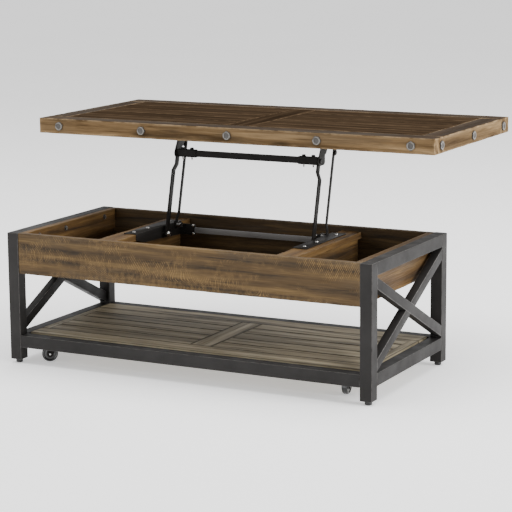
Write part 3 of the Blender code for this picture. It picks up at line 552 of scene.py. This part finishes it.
def hexagon(name, flats, height, washer=0.0, dish=((0.38, 0.0),)):
    """A hexagon head about Z with a chamfered crown, a washer under it and a dished top, if asked."""
    corner = flats / math.sqrt(3)
    angles = [math.tau * i / 24 for i in range(24)]

    def hex_radius(angle):
        return flats / 2 / math.cos((angle + math.pi / 6) % (math.pi / 3) - math.pi / 6)

    base = height * 0.16 if washer else 0.0
    rings = []
    if washer:
        rings += [[(washer * f * math.cos(a), washer * f * math.sin(a), z) for a in angles]
                  for f, z in ((1.0, 0.0), (1.0, base * 0.7), (0.96, base))]
    for level, blend in ((base, 0.0), (height * 0.70, 0.0), (height * 0.86, 0.45), (height, 1.0)):
        ring = []
        for a in angles:
            limit = corner * (1.0 - 0.16 * blend)
            radius = min(hex_radius(a), limit) * (1 - 0.03 * blend)
            ring.append((radius * math.cos(a), radius * math.sin(a), level))
        rings.append(ring)
    for part, level in dish:
        rings.append([(flats * part * math.cos(a), flats * part * math.sin(a), height - level)
                      for a in angles])
    mesh = rings_mesh(name, rings)
    mesh.shade_smooth()
    mesh.set_sharp_from_angle(angle=math.radians(25))
    return mesh


def mark_edges(mesh, low, high):
    """Lighten a small mesh's outer rim with worn paint and a painted highlight: the value grows from one
    height to another.
    """
    data = mesh.attributes.new("board", "FLOAT_COLOR", "POINT")
    for entry, vertex in zip(data.data, mesh.vertices):
        wear = min(1.0, max(0.0, (vertex.co.z - low) / (high - low)))
        entry.color = (0.5, 0.3, wear, 1.0)


def stand(mesh, material, point, outward, name, turn=0.0):
    """A copy of a small mesh at a point, its Z along a direction."""
    item = show(name, mesh.copy(), material)
    rotation = Vector(outward).to_track_quat("Z", "Y").to_matrix().to_4x4()
    item.matrix_world = Matrix.Translation(Vector(point)) @ rotation @ Matrix.Rotation(turn, 4, "Z")
    return item


# Steel base

def build_frame():
    """Rounded square tubes for the posts and rails, their edges lightened by worn paint and a painted
    highlight.
    """
    rng = np.random.default_rng(11)
    names = [n for n in frame["nodes"] if n.startswith(("post_", "end_rail", "long_rail"))]
    for node in sorted(names):
        low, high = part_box(node)
        parts = [board_arrays(low, high, rng, TUBE_CELL, *TUBE_FORM)]
        settle(mesh_piece(node + "_tube", STEEL, parts), "base", "frame_steel", node)
    for node in sorted(n for n in frame["nodes"] if n.startswith("brace_")):
        softened(node, STEEL, "base", "frame_steel", 0.0018, 3)


def build_feet():
    """Levelling feet: a round pad on a threaded stem."""
    for node in sorted(n for n in frame["nodes"] if n.startswith("foot_")):
        low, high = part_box(node)
        x, y = (low.x + high.x) / 2, (low.y + high.y) / 2
        profile = [(0.0085, 0.0), (0.0098, 0.0008), (0.0105, 0.002), (0.0105, 0.0085), (0.0098, 0.0102),
                   (0.0085, 0.0110), (0.0062, 0.0114)]
        stem = [(0.0040 - 0.0005 * (i % 2), 0.0116 + 0.0006 * i) for i in range(24)]
        item = show(node + "_pad", lathe(node + "_pad", profile + stem, 40), FOOT)
        item.location = (x, y, 0)
        settle(item, node, "foot_plastic", node)


# Wood

def build_box():
    """The box's boards, each with its own wood and tone."""
    rng = np.random.default_rng(23)
    plan = [("box_apron_front", "apron", 0.55), ("box_apron_rear", "apron", 0.45),
            ("box_floor", "box_x", 0.25), ("box_end_left", "box_y", 0.75), ("box_end_right", "box_y", 0.2),
            ("box_divider_left", "box_y", 0.4), ("box_divider_right", "box_y", 0.4),
            ("box_ledge_left", "box_y", 0.55), ("box_ledge_right", "box_y", 0.6)]
    for node, look, tone in plan:
        low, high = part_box(node)
        form = LEDGE_FORM if "ledge" in node else BOX_FORM
        cell = FLOOR_CELL if "floor" in node else BOX_CELL
        part = board_arrays(low, high, rng, cell, *form, tone)
        settle(mesh_piece(node + "_board", WOOD[look], [part]), "base", "box_wood", node)


def field_planks(node, bottom, middle, groove, rng, cell, form):
    """Planks in both fields of a node, left and right of its cross board."""
    low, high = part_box(node)
    width = (high.y - low.y + groove) / PLANKS - groove
    planks = []
    for start, end in ((low.x, -middle), (middle, high.x)):
        for i in range(PLANKS):
            y = low.y + i * (width + groove)
            planks.append(board_arrays((start, y, bottom), (end, y + width, high.z), rng, cell, *form))
    return planks


def build_shelf():
    """Border boards and a cross board, planks in both fields, and the cleats that hold them."""
    rng = np.random.default_rng(37)
    for place, look in (("front", "shelf_x"), ("rear", "shelf_x"), ("left", "shelf_y"), ("middle", "shelf_y"),
                        ("right", "shelf_y")):
        node = f"shelf_board_{place}"
        part = board_arrays(*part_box(node), rng, SHELF_CELL, *SHELF_FORM)
        settle(mesh_piece(node + "_worn", WOOD[look], [part]), "base", "shelf_wood", node)
    low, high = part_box("shelf_planks")
    board_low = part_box("shelf_board_middle")[0].z
    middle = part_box("shelf_board_middle")[1].x + SHELF_GROOVE / 2
    planks = field_planks("shelf_planks", board_low, middle, SHELF_GROOVE, rng, SHELF_CELL, PLANK_FORM)
    cleats = []
    for x, half in CLEATS:
        cleats.append(board_arrays((x - half, low.y + CLEAT_INSET, low.z),
                                   (x + half, high.y - CLEAT_INSET, board_low - GAP), rng, CLEAT_CELL,
                                   *CLEAT_FORM))
    settle(mesh_piece("shelf_planks_worn", WOOD["shelf_x"], planks), "base", "shelf_wood", "shelf_planks")
    settle(mesh_piece("shelf_cleats", WOOD["shelf_y"], cleats), "base", "shelf_wood")


def build_top():
    """Border boards, a cross board in the middle and planks in both fields."""
    rng = np.random.default_rng(41)
    for end in ("front", "rear"):
        low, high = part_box(f"top_edge_{end}")
        y_low = low.y + (BOLT_ROOM if end == "front" else 0)
        y_high = high.y - (BOLT_ROOM if end == "rear" else 0)
        part = board_arrays((low.x + BOLT_ROOM, y_low, low.z), (high.x - BOLT_ROOM, y_high, high.z), rng,
                            LONG_BORDER_CELL, *BORDER_FORM, 0.55, True)
        settle(mesh_piece(f"top_edge_{end}_board", WOOD["edge_x"], [part]), "top", "top_edge_wood",
               f"top_edge_{end}")
    for side, across in SIDES.items():
        low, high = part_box(f"top_edge_{side}")
        x_low = low.x + (BOLT_ROOM if across < 0 else 0)
        x_high = high.x - (BOLT_ROOM if across > 0 else 0)
        part = board_arrays((x_low, low.y, low.z), (x_high, high.y, high.z), rng, SHORT_BORDER_CELL,
                            *BORDER_FORM, 0.5, True)
        settle(mesh_piece(f"top_edge_{side}_board", WOOD["edge_y"], [part]), "top", "top_edge_wood",
               f"top_edge_{side}")
    low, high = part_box("top_panel")
    planks = field_planks("top_panel", low.z, TOP_CROSS_HALF + TOP_GROOVE, TOP_GROOVE, rng, FIELD_CELL,
                          FIELD_FORM)
    settle(mesh_piece("top_planks", WOOD["top_x"], planks), "top", "top_wood", "top_panel")
    cross = board_arrays((-TOP_CROSS_HALF, low.y, low.z), (TOP_CROSS_HALF, high.y, high.z), rng, FIELD_CELL,
                         *FIELD_FORM, 0.3)
    settle(mesh_piece("top_cross_board", WOOD["top_y"], [cross]), "top", "top_wood")


def build_bolts():
    """Hexagon heads with dished faces, round the edge of the top."""
    head = hexagon("edge_bolt", BOLT_FLATS, BOLT_PROUD, 0.0, ((0.36, 0.0), (0.33, 0.0009), (0.20, 0.0014)))
    mark_edges(head, BOLT_PROUD * 0.5, BOLT_PROUD * 0.99)
    rng = np.random.default_rng(5)
    low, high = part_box("top_edge_front")
    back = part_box("top_edge_rear")[1].y
    height = (low.z + high.z) / 2
    places = []
    for i in (-2, -1, 0, 1, 2):
        places.append(((i * BOLT_SPACING, low.y + BOLT_ROOM, height), (0, -1, 0)))
        places.append(((i * BOLT_SPACING, back - BOLT_ROOM, height), (0, 1, 0)))
    for across in SIDES.values():
        x = across * (high.x - BOLT_ROOM)
        for y in (low.y + BOLT_ROOM + BOLT_CORNER, (low.y + back) / 2, back - BOLT_ROOM - BOLT_CORNER):
            places.append(((x, y, height), (across, 0, 0)))
    for i, (point, outward) in enumerate(places):
        turn = float(rng.uniform(0, math.pi / 3))
        settle(stand(head, DARK_BOLT, point, outward, f"edge_bolt_{i}", turn), "top", "black_steel")


def build_box_bolts():
    """Bolts that hold the box's end boards to the frame, seen on their inner faces."""
    head = hexagon("box_bolt", BOX_BOLT_FLATS, 0.0040, 0.0085, ((0.36, 0.0), (0.30, 0.0006)))
    mark_edges(head, 0.0022, 0.0040)
    for side, across in SIDES.items():
        low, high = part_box(f"box_end_{side}")
        rail_low, rail_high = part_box(f"end_rail_top_{side}")
        height = (rail_low.z + rail_high.z) / 2
        face = high.x if across < 0 else low.x
        for i, along in enumerate(BOX_BOLTS_ALONG):
            y = low.y + (high.y - low.y) * along
            fastener(head, DARK_BOLT, (face, y, height), (-across, 0, 0), f"box_bolt_{side}_{i}", "base",
                     "black_steel")


# Lift hardware

def fastener(kind, material, point, outward, name, body, slot):
    """A copy of a small mesh that rides on a body."""
    item = stand(kind, material, point, outward, name, FASTENER_TURN)
    return settle(item, body, slot)


def build_lift():
    for side in SIDES:
        softened(f"lift_base_plate_{side}", BLACK, "base", "black_steel", 0.0005)
        softened(f"lift_front_arm_{side}", BLACK, "front_arms", "black_steel", 0.0006)
        softened(f"lift_rear_arm_{side}", BLACK, f"rear_arm_{side}", "black_steel", 0.0005)
        softened(f"lift_top_bracket_{side}", BLACK, "top", "black_steel", 0.0005)
    softened("lift_cross_tube", BLACK, "front_arms", "black_steel", 0.0010)
    softened("lift_spacer_bar", BAR_ZINC, "base", "zinc_steel", 0.0005)
    build_springs()
    build_lift_fasteners()


def build_springs():
    """Round wire coils about the rear lower pivots."""
    for side, across in SIDES.items():
        low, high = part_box(f"lift_spring_{side}")
        y = (low.y + high.y) / 2
        z = (low.z + high.z) / 2
        coil = (high.y - low.y) / 2 - SPRING_MARGIN
        start = max(abs(low.x), abs(high.x)) - SPRING_MARGIN
        end = min(abs(low.x), abs(high.x)) + SPRING_MARGIN
        curve = bpy.data.curves.new(f"spring_{side}", "CURVE")
        curve.dimensions = "3D"
        curve.bevel_depth = WIRE_RADIUS
        curve.bevel_resolution = 3
        curve.use_fill_caps = True
        points = [(across * start, y + coil, z + SPRING_LEG)]
        for i in range(SPRING_TURNS * SPRING_STEPS + 1):
            angle = -math.tau * i / SPRING_STEPS
            x = start + (end - start) * i / (SPRING_TURNS * SPRING_STEPS)
            points.append((across * x, y + coil * math.cos(angle), z + coil * math.sin(angle)))
        points.append((across * end, y + coil, z - SPRING_LEG))
        spline = curve.splines.new("POLY")
        spline.points.add(len(points) - 1)
        for place, point in zip(spline.points, points):
            place.co = (*point, 1)
        item = bpy.data.objects.new(f"spring_{side}", curve)
        curve.materials.append(ZINC)
        bpy.context.scene.collection.objects.link(item)
        settle(item, "base", "zinc_steel", f"lift_spring_{side}")


def build_lift_fasteners():
    """Sleeve nuts and bolt ends, base plate screws, spacer bar screws and pivot nuts."""
    nut = hexagon("nut", NUT_FLATS, 0.0055, 0.0072)
    mark_edges(nut, 0.003, 0.0055)
    tip = lathe("bolt_tip", [(0.0028, 0.0), (0.0028, 0.0035), (0.0025, 0.0040), (0.0028, 0.0045),
                             (0.0026, 0.0060), (0.0012, 0.0082)], 20)
    pan = lathe("pan_screw", [(0.0052, 0.0), (0.0052, 0.0010), (0.0046, 0.0022), (0.0030, 0.0029),
                              (0.0014, 0.0031)], 28)
    big_nut = hexagon("pivot_nut", PIVOT_NUT_FLATS, 0.0065, 0.0090)
    mark_edges(big_nut, 0.004, 0.0065)
    tab_head = lathe("tab_screw", [(0.0046, 0.0), (0.0046, 0.0010), (0.0040, 0.0022), (0.0020, 0.0028)], 28)
    tube_low, tube_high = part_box("lift_cross_tube")
    for side, across in SIDES.items():
        outer = abs(tube_high.x)
        for i, inward in enumerate(SLEEVE_NUTS):
            x = across * (outer - inward)
            y = (tube_low.y + tube_high.y) / 2
            fastener(nut, BLACK, (x, y, tube_high.z + SLEEVE_WALL), (0, 0, 1), f"sleeve_nut_{side}_{i}",
                     "front_arms", "black_steel")
            fastener(tip, BRIGHT, (x, y, tube_low.z - SLEEVE_WALL), (0, 0, -1), f"sleeve_bolt_{side}_{i}",
                     "front_arms", "zinc_steel")
        low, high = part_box(f"lift_base_plate_{side}")
        flange_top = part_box(f"box_ledge_{side}")[1].z + FLANGE_RISE
        x = across * (max(abs(low.x), abs(high.x)) - PLATE_SCREW_IN)
        for i, along in enumerate(PLATE_SCREWS_ALONG):
            y = low.y + (high.y - low.y) * along
            fastener(pan, BRIGHT, (x, y, flange_top), (0, 0, 1), f"plate_screw_{side}_{i}", "base",
                     "zinc_steel")
        bar_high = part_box("lift_spacer_bar")[1]
        y = bar_high.y + GAP
        for i, (inward, height) in enumerate(TAB_SCREWS):
            x = across * (abs(bar_high.x) - inward)
            look = BRIGHT if i < 2 else BLACK
            fastener(tab_head, look, (x, y, height), (0, -1, 0), f"tab_bolt_{side}_{i}", "base",
                     "zinc_steel")
        pivot = JOINTS["lift"]["pos_m"]
        place = (across * PIVOT_NUT_FACE, pivot[1], pivot[2])
        fastener(big_nut, BRIGHT, place, (-across, 0, 0), f"pivot_nut_{side}", "base", "zinc_steel")


# Casters

def build_casters():
    for key in ("front_left", "front_right", "rear_left", "rear_right"):
        fork = f"caster_fork_{key}"
        softened(fork, BLACK, f"caster_{key}", "black_steel", 0.0005)
        roll = JOINTS[f"caster_{key}_roll"]
        centre = Vector(roll["pos_m"])
        axis = Vector(roll["axis"])
        build_wheel(key, centre, axis)
        pivot = Vector(JOINTS[f"caster_{key}_swivel"]["pos_m"])
        build_caster_trim(key, pivot, centre, axis)
        build_mounting_plate(key, pivot)


def build_wheel(key, centre, axis):
    """One turned wheel: hub, sunk disc and a tyre with a groove round its middle."""
    half = WHEEL_HALF
    upper = [(0.0036, half - 0.0006), (0.0085, half), (0.0105, half - 0.0022), (0.0170, half - 0.0026),
             (0.0195, half - 0.0006), (0.0212, half - 0.0003), (0.0232, half - 0.0014),
             (0.0245, half - 0.0036), (WHEEL_RADIUS, half - 0.0062), (WHEEL_RADIUS, 0.0014), (0.0246, 0.0008)]
    profile = upper + [(r, -z) for r, z in reversed(upper)]
    mesh = lathe(f"wheel_{key}", [(r, -z) for r, z in profile], 64)
    item = stand(mesh, TYRE, centre, axis, f"caster_tyre_{key}")
    settle(item, f"wheel_{key}", "caster_black", f"caster_wheel_{key}")


def build_caster_trim(key, pivot, centre, axis):
    """Chrome caps on the axle and a bright ring round the swivel."""
    cap = lathe("axle_cap", [(0.0034, 0.0), (0.0034, 0.0006), (0.0030, 0.0013), (0.0018, 0.0018),
                             (0.0007, 0.0019)], 28)
    reach = WHEEL_HALF + WHEEL_SIDE + CHEEK
    for name, sign in (("a", 1), ("b", -1)):
        outward = axis * sign
        item = stand(cap, CHROME, centre + outward * reach, outward, f"caster_cap_{key}_{name}")
        settle(item, f"caster_{key}", "zinc_steel")
    band = lathe("swivel_band", [(0.0160, -0.0044), (0.0174, -0.0040), (0.0178, -0.0024), (0.0174, -0.0010),
                                 (0.0160, -0.0006)], 48)
    settle(stand(band, CHROME, pivot, (0, 0, 1), f"caster_band_{key}"), f"caster_{key}", "zinc_steel")


def build_mounting_plate(key, pivot):
    """The fixed plate under the shelf that the caster swivels on."""
    rng = np.random.default_rng(3)
    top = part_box("shelf_board_middle")[0].z - GAP
    low = (pivot.x - MOUNT_HALF, pivot.y - MOUNT_HALF, pivot.z + 0.0004)
    high = (pivot.x + MOUNT_HALF, pivot.y + MOUNT_HALF, top)
    part = board_arrays(low, high, rng, PLATE_CELL, *PLATE_FORM)
    settle(mesh_piece(f"caster_plate_{key}", BLACK, [part]), "base", "black_steel")


# Studio

def build_studio():
    """A white floor, a white world and three area lamps."""
    corners = [(x * FLOOR_REACH, y * FLOOR_REACH, 0) for x, y in ((-1, -1), (1, -1), (1, 1), (-1, 1))]
    floor = show("studio_floor", rings_mesh("studio_floor", [corners], False), floor_material())
    world = bpy.data.worlds.new("studio")
    bpy.context.scene.world = world
    world.use_nodes = True
    world.node_tree.nodes["Background"].inputs["Color"].default_value = (1.0, 1.0, 1.0, 1)
    world.node_tree.nodes["Background"].inputs["Strength"].default_value = WORLD_LIGHT
    for name, place, size, power in LAMPS:
        lamp = bpy.data.lights.new(name, "AREA")
        lamp.size = size
        lamp.energy = power
        item = bpy.data.objects.new(name, lamp)
        item.location = place
        aim = LAMP_AIM - Vector(place)
        item.rotation_euler = aim.to_track_quat("-Z", "Y").to_euler()
        bpy.context.scene.collection.objects.link(item)


def build_camera():
    """The photo's camera, from its place and angles."""
    data = bpy.data.cameras.new("camera")
    data.lens = CAMERA_LENS
    data.sensor_width = 36
    item = bpy.data.objects.new("camera", data)
    ca, sa = math.cos(CAMERA_AZIMUTH), math.sin(CAMERA_AZIMUTH)
    ce, se = math.cos(CAMERA_DROP), math.sin(CAMERA_DROP)
    forward = Vector((-sa * ce, ca * ce, -se))
    right = forward.cross(Vector((0, 0, 1))).normalized()
    up = right.cross(forward)
    c, s = math.cos(CAMERA_ROLL), math.sin(CAMERA_ROLL)
    across = c * right + s * up
    upward = c * up - s * right
    columns = Matrix((across, upward, -forward)).transposed().to_4x4()
    item.matrix_world = Matrix.Translation(CAMERA_PLACE) @ columns
    bpy.context.scene.collection.objects.link(item)
    bpy.context.scene.camera = item


build_camera()
build_studio()
build_frame()
build_feet()
build_box()
build_shelf()
build_top()
build_bolts()
build_box_bolts()
build_lift()
build_casters()
